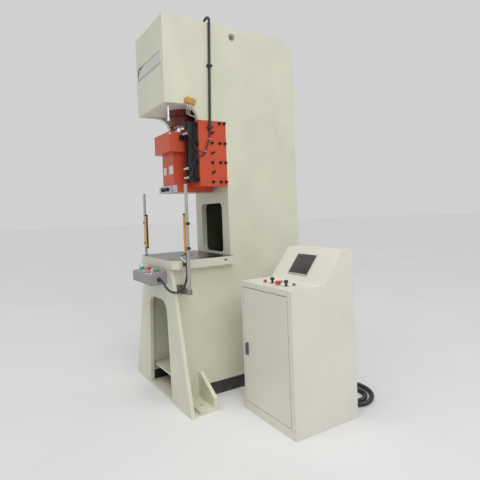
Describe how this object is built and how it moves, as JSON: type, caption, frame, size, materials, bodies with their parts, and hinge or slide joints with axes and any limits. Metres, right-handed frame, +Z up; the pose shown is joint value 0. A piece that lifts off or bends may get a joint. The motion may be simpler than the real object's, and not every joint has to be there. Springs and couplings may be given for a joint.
{
  "type": "hydraulic punching press",
  "caption": "Tall C-frame hydraulic punching press with guided slide, T-slot table, light curtain, two-hand button box and separate control console.",
  "frame": {"origin": "centre of the four anchor bolts, on the floor", "axes": "+X to the operator's right, -Y towards the operator, +Z up"},
  "size_m": [1.852, 1.628, 3.121],
  "materials": {
    "frame_paint": "satin",
    "console_paint": "satin",
    "grey_paint": "satin",
    "guide_paint": "gloss",
    "cylinder_paint": "satin",
    "plinth_paint": "matt",
    "ground_steel": "ground",
    "bright_steel": "brushed",
    "hard_chrome": "polished",
    "black_screws": "oiled black",
    "liner_bronze": "machined",
    "brass": "machined",
    "post_steel": "satin",
    "curtain_orange": "satin",
    "black_plastic": "matt",
    "black_hose": "matt",
    "pale_plastic": "matt",
    "green_plastic": "gloss",
    "red_plastic": "gloss",
    "white_plastic": "gloss",
    "screen_glass": "dark",
    "motor_blue": "satin"
  },
  "bodies": {
    "frame": {"right_side_plate": "frame_paint", "left_side_plate": "frame_paint", "head_box": "frame_paint", "column_box": "frame_paint", "back_plate": "frame_paint", "back_cover": "frame_paint", "pedestal_front_plate": "frame_paint", "base_plate": "frame_paint", "plinth_rails": "plinth_paint", "anchor_feet": "frame_paint", "lifting_tube": "frame_paint", "work_table": "ground_steel", "right_guide_block": "guide_paint", "left_guide_block": "guide_paint", "guide_liners": "liner_bronze", "guide_screws": "black_screws", "cylinder_barrel": "cylinder_paint", "cylinder_ring_nut": "cylinder_paint", "cylinder_gland": "bright_steel", "valve_block": "bright_steel", "oil_tank": "grey_paint", "pump_motor": "motor_blue", "oil_pipes": "bright_steel", "sensor_rail": "black_plastic", "proximity_sensors": "bright_steel", "sensor_wiring": "black_hose", "lube_distributor": "brass", "lube_tubes": "pale_plastic", "curtain_posts": "post_steel", "curtain_bars": "curtain_orange", "curtain_brackets": "black_screws", "button_box": "grey_paint", "box_collars": "bright_steel", "box_conduit": "black_hose", "console_cabinet": "console_paint", "hmi_frame": "black_plastic", "hmi_screen": "screen_glass", "desk_collars": "bright_steel", "control_gear": "pale_plastic", "cable_fittings": "bright_steel", "floor_conduit": "black_hose"},
    "slide": {"slide_body": "guide_paint", "tool_clamp": "bright_steel", "slide_screws": "black_screws", "piston_rod": "hard_chrome", "trigger_cam": "black_screws"},
    "left_palm": {"left_palm_button": "green_plastic"},
    "right_palm": {"right_palm_button": "green_plastic"},
    "box_stop": {"box_stop_button": "red_plastic"},
    "box_white": {"box_white_button": "white_plastic"},
    "box_green": {"box_green_button": "green_plastic"},
    "box_red": {"box_red_button": "red_plastic"},
    "door": {"console_door": "console_paint"},
    "door_lock": {"console_lock": "black_plastic"},
    "desk_red": {"desk_red_button": "red_plastic"},
    "desk_stop": {"desk_stop_button": "red_plastic"},
    "desk_rear_green": {"desk_rear_green_button": "green_plastic"},
    "desk_right_green": {"desk_right_green_button": "green_plastic"},
    "left_knob": {"left_selector_knob": "black_plastic"},
    "right_knob": {"right_selector_knob": "black_plastic"}
  },
  "joints": [
    {"name": "slide_stroke", "type": "slide", "parent": "frame", "child": "slide", "axis": [0, 0, -1], "range_m": [0, 0.3]},
    {"name": "left_palm_press", "type": "slide", "parent": "frame", "child": "left_palm", "axis": [0, 0.1919, -0.9814], "range_m": [0, 0.006], "stiffness_N_per_m": 600, "springref_m": -0.002},
    {"name": "right_palm_press", "type": "slide", "parent": "frame", "child": "right_palm", "axis": [0, 0.1919, -0.9814], "range_m": [0, 0.006], "stiffness_N_per_m": 600, "springref_m": -0.002},
    {"name": "box_stop_press", "type": "slide", "parent": "frame", "child": "box_stop", "axis": [0, 0.1919, -0.9814], "range_m": [0, 0.006], "stiffness_N_per_m": 600, "springref_m": -0.002},
    {"name": "box_white_press", "type": "slide", "parent": "frame", "child": "box_white", "axis": [0, 0.1919, -0.9814], "range_m": [0, 0.004], "stiffness_N_per_m": 600, "springref_m": -0.002},
    {"name": "box_green_press", "type": "slide", "parent": "frame", "child": "box_green", "axis": [0, 0.1919, -0.9814], "range_m": [0, 0.004], "stiffness_N_per_m": 600, "springref_m": -0.002},
    {"name": "box_red_press", "type": "slide", "parent": "frame", "child": "box_red", "axis": [0, 0.1919, -0.9814], "range_m": [0, 0.004], "stiffness_N_per_m": 600, "springref_m": -0.002},
    {"name": "console_door_swing", "type": "hinge", "parent": "frame", "child": "door", "pos_m": [1.207, -0.214, 0.4975], "axis": [0, 0, 1], "range_deg": [0, 105]},
    {"name": "door_lock_turn", "type": "hinge", "parent": "door", "child": "door_lock", "pos_m": [0.722, -0.214, 0.47], "axis": [0, 1, 0], "range_deg": [-90, 0]},
    {"name": "desk_red_press", "type": "slide", "parent": "frame", "child": "desk_red", "axis": [0, 0, -1], "range_m": [0, 0.004], "stiffness_N_per_m": 600, "springref_m": -0.002},
    {"name": "desk_stop_press", "type": "slide", "parent": "frame", "child": "desk_stop", "axis": [0, 0, -1], "range_m": [0, 0.006], "stiffness_N_per_m": 600, "springref_m": -0.002},
    {"name": "desk_rear_green_press", "type": "slide", "parent": "frame", "child": "desk_rear_green", "axis": [0, 0, -1], "range_m": [0, 0.004], "stiffness_N_per_m": 600, "springref_m": -0.002},
    {"name": "desk_right_green_press", "type": "slide", "parent": "frame", "child": "desk_right_green", "axis": [0, 0, -1], "range_m": [0, 0.004], "stiffness_N_per_m": 600, "springref_m": -0.002},
    {"name": "left_knob_turn", "type": "hinge", "parent": "frame", "child": "left_knob", "pos_m": [0.93, -0.125, 1], "axis": [0, 0, 1], "range_deg": [-45, 45]},
    {"name": "right_knob_turn", "type": "hinge", "parent": "frame", "child": "right_knob", "pos_m": [1.095, -0.13, 1], "axis": [0, 0, 1], "range_deg": [-45, 45]}
  ]
}
